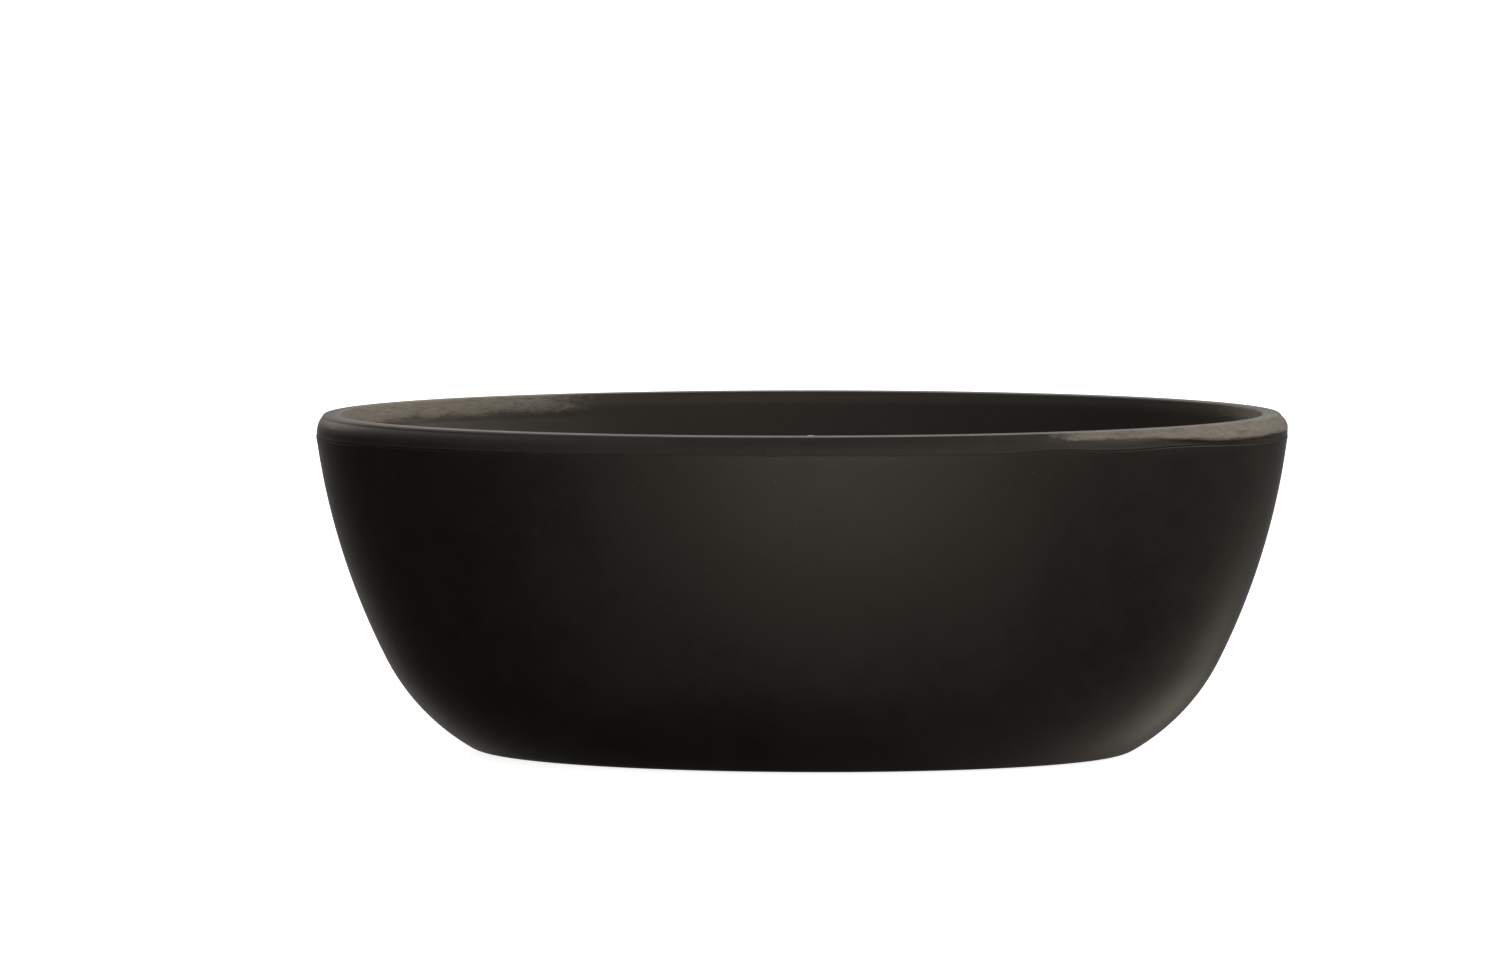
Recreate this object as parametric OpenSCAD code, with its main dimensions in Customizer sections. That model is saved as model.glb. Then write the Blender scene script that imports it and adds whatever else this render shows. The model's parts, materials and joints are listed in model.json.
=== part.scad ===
/* [Tub] */
// overall length at the widest line, mm
tub_length = 1700; // [1680:5:1720]
// overall width at the widest line, mm
tub_width = 800; // [790:2:810]
// height of the flat rim above the floor, mm
tub_height = 600; // [600:1:606]
// wall thickness of both cast skins, mm
skin = 10; // [9:0.5:11]
// facets round the oval
segments = 80; // [72:4:88]

/* [Rim] */
// height of the outer bevel at the two ends, mm
bevel_end = 38; // [34:1:42]
// height of the outer bevel at the middle of the long sides, mm
bevel_side = 29; // [26:1:32]
// how far the outer bevel leans in, mm
bevel_in = 12.6; // [11:0.2:14]
// width of the flat top face, mm
rim_flat = 30; // [28:0.5:33]
// height of the inner bevel, mm
inner_bevel_h = 16; // [14:1:18]
// how far the inner bevel leans in, mm
inner_bevel_in = 6; // [5:0.5:7]
// thickness of the adhesive ring below the rim, mm
bond_t = 1; // [0.8:0.1:1.2]

/* [Walls] */
// lean of the outer wall just below the rim, degrees from vertical
wall_top_lean = 6.8; // [6:0.2:8]
// lean of the outer wall where the long arc ends, degrees
wall_mid_lean = 26; // [25:0.5:27]
// lean of the outer wall where the base curve starts, degrees
wall_low_lean = 59; // [57:0.5:61]
// radius of the lower outer curve, mm
wall_low_r = 379; // [370:1:388]
// radius of the tight curve into the base, mm
base_r = 55; // [50:1:60]
// share of the end inset that the long sides follow
side_share = 0.645; // [0.63:0.005:0.66]
// lean of the inner wall just below the rim, degrees
inner_top_lean = 10; // [9:0.5:11]
// lean of the inner wall where the floor curve starts, degrees
inner_low_lean = 30; // [29:0.5:31]
// radius of the curve into the basin floor, mm
floor_r = 110; // [100:2:115]
// share of the inner end inset that the long sides follow
inner_share = 0.62; // [0.6:0.01:0.64]

/* [Feet] */
// half distance between the feet along the tub, mm
foot_x = 350; // [330:5:360]
// half distance between the feet across the tub, mm
foot_y = 95; // [92:1:98]
// radius of the foot pads, mm
pad_r = 22; // [18:1:23]

/* [Overflow] */
// height of the overflow centre above the floor, mm
overflow_z = 490; // [480:1:496]

/* [Hidden] */

// clean cut-through allowance
eps = 1;
round_fn = 64;
half_l = tub_length / 2;
half_w = tub_width / 2;

// outer wall: three tangent arcs seen from the end, points are [inset, height]
seam_end_z = tub_height - bevel_end;
seam_rise = bevel_end - bevel_side;
shell_bottom_z = 2;
side_lead = seam_rise * tan(wall_top_lean) * side_share;
wall_drop = seam_end_z - shell_bottom_z;
low_drop = wall_low_r * (sin(wall_low_lean) - sin(wall_mid_lean)) + base_r * (1 - sin(wall_low_lean));
wall_r = (wall_drop - low_drop) / (sin(wall_mid_lean) - sin(wall_top_lean));
base_flange = 30;

// inner wall: one long arc, one floor curve
inner_top_in = bevel_in + rim_flat + inner_bevel_in;
inner_top_z = tub_height - inner_bevel_h;
floor_edge_z = 152;
floor_drain_z = 150;
floor_under_z = 138;
lean_rise = sin(inner_low_lean) - sin(inner_top_lean);
inner_drop = inner_top_z - floor_edge_z;
inner_r = (inner_drop - floor_r * (1 - sin(inner_low_lean))) / lean_rise;
back_r = floor_r + skin;
back_top_in = inner_top_in - skin * cos(inner_top_lean);
back_top_z = inner_top_z - skin * sin(inner_top_lean);
back_drop = back_top_z - floor_under_z;
back_long_r = (back_drop - back_r * (1 - sin(inner_low_lean))) / lean_rise;

// cradles, stacked below the board
board_z = floor_under_z - 15;
strip_z = board_z - 3;
rail = 30;
rail_wall = 2;
rail_z = strip_z - rail;
rail_in_x = 110;
rail_out_x = 430;
rail_len = rail_out_x - rail_in_x;
cross_x = [rail_in_x + rail / 2, rail_out_x - rail / 2];
feet = [[-foot_x, -foot_y], [foot_x, -foot_y], [-foot_x, foot_y], [foot_x, foot_y]];

// M12 levelling foot
stud_r = 5.95;
stud_fit_r = 6.0;
nut_bore_r = 6.02;
nut_r = 11;
sole_h = 4;
pad_top_z = 9;
hub_top_z = 20;
hub_r = 12;
socket_z = 10;
stud_top_z = 112;

// brackets between the cradles and the base flange
bracket_x = 200;
bracket_w = 40;
bracket_t = 4;
flange_top_z = shell_bottom_z + skin;
bracket_reach = 186;
flange_bolt_y = 178;
rail_bolt_z = rail_z + rail / 2;
bolt_r = 4;
bolt_head_r = 7.5;
bolt_head_h = 5;

// waste and plug
drain_r = 25;
recess_r = 36.5;
recess_z = 147.5;
flange_z = 149;
flange_top = 151;
tube_r = 22;
throat_r = 19;
plug_travel = 9;
seal_z = flange_top + plug_travel + 0.3;
seal_t = 2;
stem_r = 3;
hub_z = 121;
cartridge_top = 129;
body_z = 98;
body_r = 27;
body_in_r = 22.3;
spigot_z = 108;
spigot_r = 8.5;
spigot_in_r = 6.5;

// hose
hose_r = 11;
hose_in_r = 8.8;
hose_fn = 16;

// overflow, on the wall of the far long side
over_sin = sin(inner_top_lean) + (inner_top_z - overflow_z) / inner_r;
over_cos = sqrt(1 - over_sin * over_sin);
over_inset = inner_r * (cos(inner_top_lean) - over_cos) * inner_share;
overflow_y = half_w - inner_top_in - over_inset;
overflow_lean = atan(inner_share * over_sin / over_cos);
seat_r = 33;
seat_depth = 1;
overflow_hole_r = 20;
elbow_w = 23.5;
elbow_drop = 38;

// trap and outlet
neck_z = 73.5;
trap_r = 46;
trap_top_z = 68;
trap_wall = 2.5;
outlet_z = 48;
outlet_r = 17.4;
elbow_x = -180;
elbow_bend = 26;
bend_x = elbow_x + elbow_bend;
socket_x = bend_x + 22;
elbow_r = 20;
elbow_in_r = 17;

// how far the bevel bulges beyond a flat chamfer
crown_end = 3.2;
crown_side = 0.6;

black_stone = [0.12, 0.12, 0.11];
steel = [0.62, 0.63, 0.65];
zinc = [0.75, 0.75, 0.72];
chrome = [0.85, 0.86, 0.88];
rubber = [0.07, 0.07, 0.07];
pipe_white = [0.9, 0.9, 0.88];
ply = [0.76, 0.62, 0.42];

// ---------- curves ----------

// points [inset, height, lean] along an arc that goes down from p
function arc_down(p, lean_a, lean_b, r, steps) = [
    for (i = [1 : steps])
        let (a = lean_a + (lean_b - lean_a) * i / steps)
        [p[0] + r * (cos(lean_a) - cos(a)), p[1] - r * (sin(a) - sin(lean_a)), a]];

// height added to a ring that follows the seam, t is the angle round the oval
function seam_wave(t) = seam_rise * sin(t) * sin(t);

// one ring of points, r = [end inset, side inset, height, share of the seam wave]
function oval(r) = [
    for (i = [0 : segments - 1])
        let (t = 360 * i / segments)
        [(half_l - r[0]) * cos(t), (half_w - r[1]) * sin(t), r[2] + r[3] * seam_wave(t)]];

// inset of the long side for a wall offset by t from a wall of share k, lean a at the end
function side_offset(a, k, t) =
    a > 89 ? 0 : let (b = atan(k * tan(a))) t * cos(b) - t * tan(b) * (sin(a) - sin(b));

function flatten(rings) = [for (ring = rings) for (p = ring) p];

// closed body from rings: up the outside, over the top, down the inside, back under
module ring_body(rings) {
    n = len(rings[0]);
    m = len(rings);
    faces = [
        for (r = [0 : m - 1])
            for (i = [0 : n - 1])
                let (r2 = (r + 1) % m, i2 = (i + 1) % n)
                each [
                    [r * n + i, r2 * n + i2, r * n + i2],
                    [r * n + i, r2 * n + i, r2 * n + i2]]];
    polyhedron(points = flatten(rings), faces = faces, convexity = 10);
}

// ---------- outer skin ----------

wall_start = [0, seam_end_z, wall_top_lean];
wall_a = arc_down(wall_start, wall_top_lean, wall_mid_lean, wall_r, 7);
wall_b = arc_down(wall_a[6], wall_mid_lean, wall_low_lean, wall_low_r, 6);
wall_c = arc_down(wall_b[5], wall_low_lean, 90, base_r, 4);
wall = concat(wall_a, wall_b, wall_c);
wall_n = len(wall);
base_in = wall[wall_n - 1][0];

function wall_ring(p) = [p[0], side_lead + side_share * p[0], p[1], 0];

function wall_back_ring(p) = [
    p[0] + skin * cos(p[2]),
    side_lead + side_share * p[0] + side_offset(p[2], side_share, skin),
    p[1] + skin * sin(p[2]), 0];

module outer_shell() {
    top_z = seam_end_z - bond_t;
    lip_in = base_in + base_flange;
    lip_side = side_lead + side_share * base_in + base_flange;
    rings = concat(
        [oval([lip_in, lip_side, shell_bottom_z, 0])],
        [for (i = [wall_n - 1 : -1 : 0]) oval(wall_ring(wall[i]))],
        [oval([0, 0, top_z, 1])],
        [oval([skin, skin, top_z, 1])],
        [for (i = [0 : wall_n - 1]) oval(wall_back_ring(wall[i]))],
        [oval([lip_in, lip_side, flange_top_z, 0])]);
    color(black_stone)
    difference() {
        ring_body(rings);
        at_brackets() {
            translate([0, flange_bolt_y, flange_top_z - 7])
            cylinder(h = 7 + eps, r = bolt_r + 0.2, $fn = round_fn);
        }
    }
}

module rim_bond() {
    gap = 0.05;
    low = seam_end_z - bond_t + gap;
    high = seam_end_z - gap;
    color(rubber)
    ring_body([
        oval([bond_t, bond_t, low, 1]),
        oval([bond_t, bond_t, high, 1]),
        oval([skin - bond_t, skin - bond_t, high, 1]),
        oval([skin - bond_t, skin - bond_t, low, 1])]);
}

// ---------- basin ----------

inner_start = [inner_top_in, inner_top_z, inner_top_lean];
inner_a = arc_down(inner_start, inner_top_lean, inner_low_lean, inner_r, 7);
inner_b = arc_down(inner_a[6], inner_low_lean, 90, floor_r, 6);
inner_wall = concat([inner_start], inner_a, inner_b);
back_start = [back_top_in, back_top_z, inner_top_lean];
back_a = arc_down(back_start, inner_top_lean, inner_low_lean, back_long_r, 7);
back_b = arc_down(back_a[6], inner_low_lean, 90, back_r, 6);
back_wall = concat(back_a, back_b);
back_n = len(back_wall);

function inner_ring(p, top_in) = [p[0], top_in + inner_share * (p[0] - top_in), p[1], 0];

module basin() {
    edge = 3;
    top_out = bevel_in;
    top_in = bevel_in + rim_flat;
    floor_a = half_l - 60;
    floor_b = half_w - 60;
    mid_a = half_l - 320;
    mid_b = half_w - 140;
    pilot_r = 20;
    under_in = back_top_in + (back_top_z - seam_end_z) * tan(inner_top_lean);
    bevel_x = top_out - 1.1;
    bevel_h = tub_height - edge - seam_end_z;
    rings = concat(
        [oval([0, 0, seam_end_z, 1])],
        [for (i = [1 : 4])
            let (s = i / 5, lift = 4 * s * (1 - s))
            oval([s * bevel_x - lift * crown_end, s * bevel_x - lift * crown_side,
                seam_end_z + s * bevel_h, 1 - s])],
        [oval([bevel_x, bevel_x, tub_height - edge, 0])],
        [oval([top_out - 0.1, top_out - 0.1, tub_height - 0.3 * edge, 0])],
        [oval([top_out + 0.7 * edge, top_out + 0.7 * edge, tub_height, 0])],
        [oval([top_in - 0.7 * edge, top_in - 0.7 * edge, tub_height, 0])],
        [oval([top_in + 0.1, top_in + 0.1, tub_height - 0.3 * edge, 0])],
        [oval([top_in + 1.0, top_in + 1.0, tub_height - edge, 0])],
        [for (p = inner_wall) oval(inner_ring(p, inner_top_in))],
        [oval([mid_a, half_w - mid_b, floor_drain_z + 1, 0])],
        [oval([floor_a, floor_b, floor_drain_z, 0])],
        [oval([half_l - pilot_r, half_w - pilot_r, floor_drain_z, 0])],
        [oval([half_l - pilot_r, half_w - pilot_r, floor_under_z, 0])],
        [for (i = [back_n - 1 : -1 : 0]) oval(inner_ring(back_wall[i], back_top_in))],
        [oval([under_in, under_in, seam_end_z, 1])]);
    color(black_stone)
    difference() {
        ring_body(rings);
        translate([0, 0, floor_under_z - eps])
        cylinder(h = 30, r = drain_r, $fn = round_fn);
        translate([0, 0, recess_z])
        cylinder(h = 10, r = recess_r, $fn = round_fn);
        at_overflow() {
            translate([0, 0, seat_depth - 8])
            cylinder(h = 8, r = seat_r, $fn = round_fn);
            translate([0, 0, -8])
            cylinder(h = 30, r = overflow_hole_r, $fn = round_fn);
        }
    }
}

// ---------- cradles ----------

module support_board() {
    len_x = 900;
    len_y = 300;
    corner = 60;
    color(ply)
    translate([0, 0, board_z])
    difference() {
        linear_extrude(floor_under_z - board_z) {
            square([len_x - 2 * corner, len_y], center = true);
            square([len_x, len_y - 2 * corner], center = true);
            for (sx = [-1, 1])
                for (sy = [-1, 1])
                    translate([sx * (len_x / 2 - corner), sy * (len_y / 2 - corner)])
                    circle(r = corner, $fn = round_fn);
        }
        translate([0, 0, -eps])
        cylinder(h = 30, r = 62, $fn = round_fn);
    }
}

module rail_strips() {
    color(rubber)
    for (sx = [-1, 1])
        for (sy = [-1, 1])
            translate([sx * (rail_in_x + rail_out_x) / 2, sy * foot_y, strip_z + 1.5])
            cube([rail_len - 10, 24, 3], center = true);
}

// two square tubes along the tub on one side, s = -1 or 1
module long_rails(s) {
    inner = rail - 2 * rail_wall;
    mid_x = s * (rail_in_x + rail_out_x) / 2;
    color(steel)
    for (sy = [-1, 1])
        difference() {
            translate([mid_x, sy * foot_y, rail_bolt_z])
            cube([rail_len, rail, rail], center = true);
            translate([mid_x, sy * foot_y, rail_bolt_z])
            cube([rail_len + 2 * eps, inner, inner], center = true);
            translate([s * foot_x, sy * foot_y, rail_z - eps])
            cylinder(h = rail_wall + 2 * eps, r = 6.6, $fn = round_fn);
            translate([s * bracket_x, sy * (foot_y + rail / 2 - 5), rail_bolt_z])
            rotate([-90 * sy, 0, 0])
            cylinder(h = 8, r = bolt_r + 0.2, $fn = round_fn);
        }
}

// two square tubes across the tub, welded between the long rails
module cross_rails(s) {
    inner = rail - 2 * rail_wall;
    len_y = 2 * foot_y - rail;
    color(steel)
    for (x = cross_x)
        translate([s * x, 0, rail_bolt_z])
        difference() {
            cube([rail, len_y, rail], center = true);
            cube([inner, len_y + 2 * eps, inner], center = true);
        }
}

module left_long_rails() {
    long_rails(-1);
}

module right_long_rails() {
    long_rails(1);
}

module left_cross_rails() {
    cross_rails(-1);
}

module right_cross_rails() {
    cross_rails(1);
}

module rail_end_caps() {
    plug = rail - 2 * rail_wall - 0.4;
    cap_t = 3;
    plug_len = 12;
    color(rubber)
    for (x = [-rail_out_x, -rail_in_x, rail_in_x, rail_out_x])
        for (sy = [-1, 1]) {
            out = (abs(x) == rail_out_x) ? sign(x) : -sign(x);
            translate([x + out * cap_t / 2, sy * foot_y, rail_bolt_z])
            cube([cap_t, rail, rail], center = true);
            translate([x - out * plug_len / 2, sy * foot_y, rail_bolt_z])
            cube([plug_len, plug, plug], center = true);
        }
}

module hex_nut(z, h) {
    translate([0, 0, z])
    difference() {
        cylinder(h = h, r = nut_r, $fn = 6);
        translate([0, 0, -eps])
        cylinder(h = h + 2 * eps, r = nut_bore_r, $fn = round_fn);
    }
}

module weld_nuts() {
    color(zinc)
    for (f = feet)
        translate([f[0], f[1], 0])
        hex_nut(rail_z - 10, 10);
}

module lock_nuts() {
    color(zinc)
    for (f = feet)
        translate([f[0], f[1], 0])
        hex_nut(rail_z - 17.2, 7);
}

// threaded stud with a hex collar for the spanner
module foot_stud(i) {
    color(zinc)
    translate([feet[i][0], feet[i][1], 0]) {
        translate([0, 0, socket_z + 0.1])
        cylinder(h = stud_top_z - socket_z - 1.1, r = stud_r, $fn = round_fn);
        translate([0, 0, stud_top_z - 1])
        cylinder(h = 1, r1 = stud_r, r2 = stud_r - 1, $fn = round_fn);
        translate([0, 0, 24])
        cylinder(h = 8, r = 9.8, $fn = 6);
    }
}

module foot_pad(i) {
    color(steel)
    translate([feet[i][0], feet[i][1], 0])
    rotate_extrude($fn = round_fn)
    polygon([[0, sole_h], [pad_r, sole_h], [pad_r, pad_top_z - 2], [pad_r - 2, pad_top_z],
        [hub_r + 1, pad_top_z], [hub_r, pad_top_z + 1], [hub_r, hub_top_z - 1],
        [hub_r - 1, hub_top_z], [stud_fit_r, hub_top_z], [stud_fit_r, socket_z], [0, socket_z]]);
}

module foot_sole(i) {
    color(rubber)
    translate([feet[i][0], feet[i][1], 0])
    rotate_extrude($fn = round_fn)
    polygon([[0, 0], [pad_r, 0], [pad_r + 1.5, 1], [pad_r + 1.5, sole_h], [0, sole_h]]);
}

// ---------- brackets ----------

// places children on all four bracket positions, drawn for the side of larger y
module at_brackets() {
    for (sx = [-1, 1])
        for (sy = [0, 1])
            mirror([0, sy, 0])
            translate([sx * bracket_x, 0, 0])
            children();
}

module skirt_brackets() {
    y = foot_y + rail / 2;
    color(zinc)
    at_brackets() {
        difference() {
            union() {
                translate([-bracket_w / 2, y, flange_top_z])
                cube([bracket_w, bracket_t, rail_z + rail - flange_top_z]);
                translate([-bracket_w / 2, y, flange_top_z])
                cube([bracket_w, bracket_reach - y, bracket_t]);
                translate([0, y + bracket_t - 0.1, flange_top_z + bracket_t - 0.1])
                rotate([0, -90, 0])
                linear_extrude(bracket_t, center = true)
                polygon([[0, 0], [40, 0], [0, 40]]);
            }
            translate([0, y - eps, rail_bolt_z])
            rotate([-90, 0, 0])
            cylinder(h = bracket_t + 2 * eps, r = bolt_r + 0.2, $fn = round_fn);
            translate([0, flange_bolt_y, flange_top_z - eps])
            cylinder(h = bracket_t + 2 * eps, r = bolt_r + 0.2, $fn = round_fn);
        }
    }
}

// hex bolt, head on top of z = 0, shaft below
module hex_bolt(shaft) {
    difference() {
        cylinder(h = bolt_head_h, r = bolt_head_r, $fn = 6);
        translate([0, 0, bolt_head_h - 0.8])
        cylinder(h = 1.8, r = 4.5, $fn = round_fn);
    }
    translate([0, 0, -shaft])
    cylinder(h = shaft, r = bolt_r, $fn = round_fn);
}

module rail_bolts() {
    color(zinc)
    at_brackets() {
        translate([0, foot_y + rail / 2 + bracket_t, rail_bolt_z])
        rotate([-90, 0, 0])
        hex_bolt(14);
    }
}

module flange_bolts() {
    color(zinc)
    at_brackets() {
        translate([0, flange_bolt_y, flange_top_z + bracket_t])
        hex_bolt(10);
    }
}

// ---------- waste and plug ----------

// plain ring between two heights
module ring(z0, z1, r_out, r_in) {
    translate([0, 0, z0])
    difference() {
        cylinder(h = z1 - z0, r = r_out, $fn = round_fn);
        translate([0, 0, -eps])
        cylinder(h = z1 - z0 + 2 * eps, r = r_in, $fn = round_fn);
    }
}

module waste_flange() {
    color(chrome) {
        rotate_extrude($fn = round_fn)
        polygon([[throat_r, hub_z], [tube_r, hub_z], [tube_r, flange_z], [35.5, flange_z],
            [35.5, flange_z + 0.8], [34.3, flange_top], [throat_r + 3, flange_top],
            [throat_r, flange_top - 3]]);
        difference() {
            union() {
                translate([0, 0, hub_z])
                cylinder(h = 5, r = 10, $fn = round_fn);
                for (i = [0 : 2])
                    rotate([0, 0, 60 * i])
                    translate([0, 0, hub_z + 2.5])
                    cube([2 * throat_r + 2, 3, 5], center = true);
            }
            translate([0, 0, hub_z - eps])
            cylinder(h = 7, r = 7.3, $fn = round_fn);
        }
    }
}

module waste_gasket_top() {
    color(rubber)
    ring(recess_z, flange_z, 34, 25.5);
}

module waste_gasket_bottom() {
    color(rubber)
    ring(floor_under_z - 4, floor_under_z, 36, 25.5);
}

module waste_body() {
    flange_low = floor_under_z - 8;
    color(pipe_white)
    difference() {
        union() {
            translate([0, 0, flange_low])
            cylinder(h = 4, r = 36, $fn = round_fn);
            translate([0, 0, body_z])
            cylinder(h = flange_low - body_z + 1, r = body_r, $fn = round_fn);
            translate([0, 0, neck_z + 4.5])
            cylinder(h = body_z - neck_z - 3.5, r = 19.4, $fn = round_fn);
            translate([0, 0, spigot_z])
            rotate([-90, 0, 0])
            cylinder(h = 56, r = spigot_r, $fn = round_fn);
        }
        translate([0, 0, body_z + 3])
        cylinder(h = 60, r = body_in_r, $fn = round_fn);
        translate([0, 0, neck_z])
        cylinder(h = 40, r = 16.4, $fn = round_fn);
        translate([0, 0, spigot_z])
        rotate([-90, 0, 0])
        cylinder(h = 60, r = spigot_in_r, $fn = round_fn);
    }
}

module plug_cap() {
    z = seal_z + seal_t;
    color(chrome)
    rotate_extrude($fn = round_fn)
    polygon([[0, z], [29.5, z], [31, z + 1.2], [31, z + 2.6], [29.8, z + 3.8], [24, z + 4.9],
        [16, z + 5.6], [8, z + 5.9], [0, z + 6]]);
}

module plug_seal() {
    color(rubber)
    ring(seal_z, seal_z + seal_t, 26, stem_r + 0.4);
}

module plug_stem() {
    z = hub_z - 5;
    color(chrome)
    translate([0, 0, z])
    cylinder(h = seal_z + seal_t - z, r = stem_r, $fn = round_fn);
}

// guide that screws into the hub of the flange
module plug_cartridge() {
    color(steel)
    difference() {
        union() {
            translate([0, 0, hub_z - 8])
            cylinder(h = 13, r = 7, $fn = round_fn);
            translate([0, 0, hub_z + 5])
            cylinder(h = cartridge_top - hub_z - 5, r = 9.2, $fn = 6);
        }
        translate([0, 0, hub_z - 9])
        cylinder(h = 20, r = stem_r + 0.06, $fn = round_fn);
    }
}

module plug_spring() {
    coil_r = 5.4;
    wire_r = 0.65;
    turns = 6;
    per_turn = 16;
    wire_fn = 6;
    z0 = cartridge_top + 0.1 + wire_r;
    z1 = seal_z - 0.1 - wire_r;
    steps = turns * per_turn;
    pts = [
        for (i = [0 : steps])
            let (a = 360 * i / per_turn)
            for (j = [0 : wire_fn - 1])
                let (b = 360 * j / wire_fn, r = coil_r + wire_r * cos(b))
                [r * cos(a), r * sin(a), z0 + (z1 - z0) * i / steps + wire_r * sin(b)]];
    sides = [
        for (i = [0 : steps - 1])
            for (j = [0 : wire_fn - 1])
                let (j2 = (j + 1) % wire_fn, p = i * wire_fn, q = p + wire_fn)
                each [[p + j, p + j2, q + j2], [p + j, q + j2, q + j]]];
    end_a = [for (j = [wire_fn - 1 : -1 : 0]) j];
    end_b = [for (j = [0 : wire_fn - 1]) steps * wire_fn + j];
    color(steel)
    polyhedron(points = pts, faces = concat(sides, [end_a, end_b]), convexity = 10);
}

// ---------- overflow ----------

// local z points from the basin through the wall, local y points down
module at_overflow() {
    translate([0, overflow_y, overflow_z])
    rotate([-90 - overflow_lean, 0, 0])
    children();
}

module overflow_ring() {
    color(chrome)
    at_overflow()
    rotate_extrude($fn = round_fn)
    polygon([[16, -1.5], [17, -2.2], [30, -2.2], [32, -0.8], [32, seat_depth], [19.5, seat_depth],
        [19.5, 7], [16, 7]]);
}

module overflow_cover() {
    color(chrome)
    at_overflow() {
        rotate_extrude($fn = round_fn)
        polygon([[2.8, -11.2], [24, -10.6], [29.5, -9.6], [31, -8.4], [31, -7.4], [4.5, -7.4],
            [4.5, 4], [2.8, 4]]);
        for (i = [0 : 2])
            rotate([0, 0, 120 * i + 30])
            translate([24, 0, -7.6])
            cylinder(h = 5.3, r = 2.2, $fn = round_fn);
    }
}

module overflow_screw() {
    color(steel)
    at_overflow() {
        translate([0, 0, -10])
        cylinder(h = 34, r = 2.4, $fn = round_fn);
        translate([0, 0, -13.2])
        difference() {
            cylinder(h = 2, r = 4.4, $fn = round_fn);
            translate([0, 0, -eps])
            cylinder(h = 2, r = 2, $fn = 6);
        }
        translate([0, 0, -11.2])
        cylinder(h = 2, r = 2.4, $fn = round_fn);
    }
}

module overflow_gasket() {
    color(rubber)
    at_overflow()
    ring(10.8, 13.6, 28, 20.5);
}

module overflow_elbow() {
    end_w = 33;
    color(pipe_white)
    at_overflow()
    difference() {
        union() {
            translate([0, 0, 13.6])
            cylinder(h = 3, r = 28, $fn = round_fn);
            translate([0, 0, 16])
            cylinder(h = end_w - 16, r = 22, $fn = round_fn);
            translate([0, 0, elbow_w])
            rotate([-90, 0, 0])
            cylinder(h = elbow_drop + 14, r = spigot_r, $fn = round_fn);
        }
        difference() {
            translate([0, 0, 12])
            cylinder(h = end_w - 14.5, r = 19.5, $fn = round_fn);
            translate([0, 0, 20])
            cylinder(h = 20, r = 5, $fn = round_fn);
        }
        translate([0, 12, elbow_w])
        rotate([-90, 0, 0])
        cylinder(h = elbow_drop + 14, r = spigot_in_r, $fn = round_fn);
        translate([0, 0, 19])
        cylinder(h = 8, r = 2.7, $fn = round_fn);
    }
}

// point of a cubic curve
function curve(p, q, r, s, u) =
    p * pow(1 - u, 3) + q * 3 * u * pow(1 - u, 2) + r * 3 * u * u * (1 - u) + s * pow(u, 3);

// hose centre line in the plane x = 0, points are [y, height]
hose_down = [-sin(overflow_lean), -cos(overflow_lean)];
hose_out = [cos(overflow_lean), -sin(overflow_lean)];
hose_a = [overflow_y, overflow_z] + hose_out * elbow_w + hose_down * (elbow_drop - 8);
hose_b = [299, 205];
hose_b_dir = [-0.45, -0.89];
hose_c = [190, spigot_z];
hose_d = [40, spigot_z];
hose_path = concat(
    [hose_a],
    [for (i = [0 : 11]) curve(hose_a + hose_down * 14, hose_a + hose_down * 90,
        hose_b - hose_b_dir * 80, hose_b, i / 12)],
    [for (i = [0 : 12]) curve(hose_b, hose_b + hose_b_dir * 60, hose_c + [60, 0], hose_c, i / 12)],
    [hose_d]);

function path_dir(i) =
    let (n = len(hose_path), p = hose_path[max(i - 1, 0)], q = hose_path[min(i + 1, n - 1)])
    (q - p) / norm(q - p);

// circle of points round station i of the hose
function hose_ring(i, r) = [
    for (j = [0 : hose_fn - 1])
        let (a = 360 * j / hose_fn, d = path_dir(i), c = hose_path[i])
        [r * cos(a), c[0] + r * sin(a) * d[1], c[1] - r * sin(a) * d[0]]];

module overflow_hose() {
    n = len(hose_path);
    rings = concat(
        [for (i = [0 : n - 1]) hose_ring(i, hose_r)],
        [for (i = [n - 1 : -1 : 0]) hose_ring(i, hose_in_r)]);
    color(pipe_white)
    ring_body(rings);
}

module hose_clamps() {
    clamp_r = hose_r + 0.3;
    color(zinc) {
        at_overflow()
        translate([0, elbow_drop - 5, elbow_w])
        rotate([-90, 0, 0])
        ring(0, 7, clamp_r + 1, clamp_r);
        translate([0, 46, spigot_z])
        rotate([-90, 0, 0])
        ring(0, 7, clamp_r + 1, clamp_r);
    }
}

// ---------- trap and outlet ----------

// grips round a union nut
module nut_grips(z, h, r) {
    for (i = [0 : 7])
        rotate([0, 0, 45 * i])
        translate([r, 0, z + h / 2])
        cube([3, 5, h], center = true);
}

module trap_inlet_nut() {
    z = trap_top_z + 0.4;
    color(pipe_white) {
        rotate_extrude($fn = round_fn)
        polygon([[17.8, z], [25, z], [25, z + 20], [19.8, z + 20], [19.8, z + 2], [17.8, z + 2]]);
        nut_grips(z + 1, 16, 25.4);
    }
}

module trap_inlet_washer() {
    color(rubber)
    ring(neck_z + 2, neck_z + 4.4, 19.2, 15);
}

module trap_dip_tube() {
    color(pipe_white)
    rotate_extrude($fn = round_fn)
    polygon([[12.8, 16], [14.6, 16], [14.6, neck_z], [19.2, neck_z], [19.2, neck_z + 1.9],
        [12.8, neck_z + 1.9]]);
}

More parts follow.
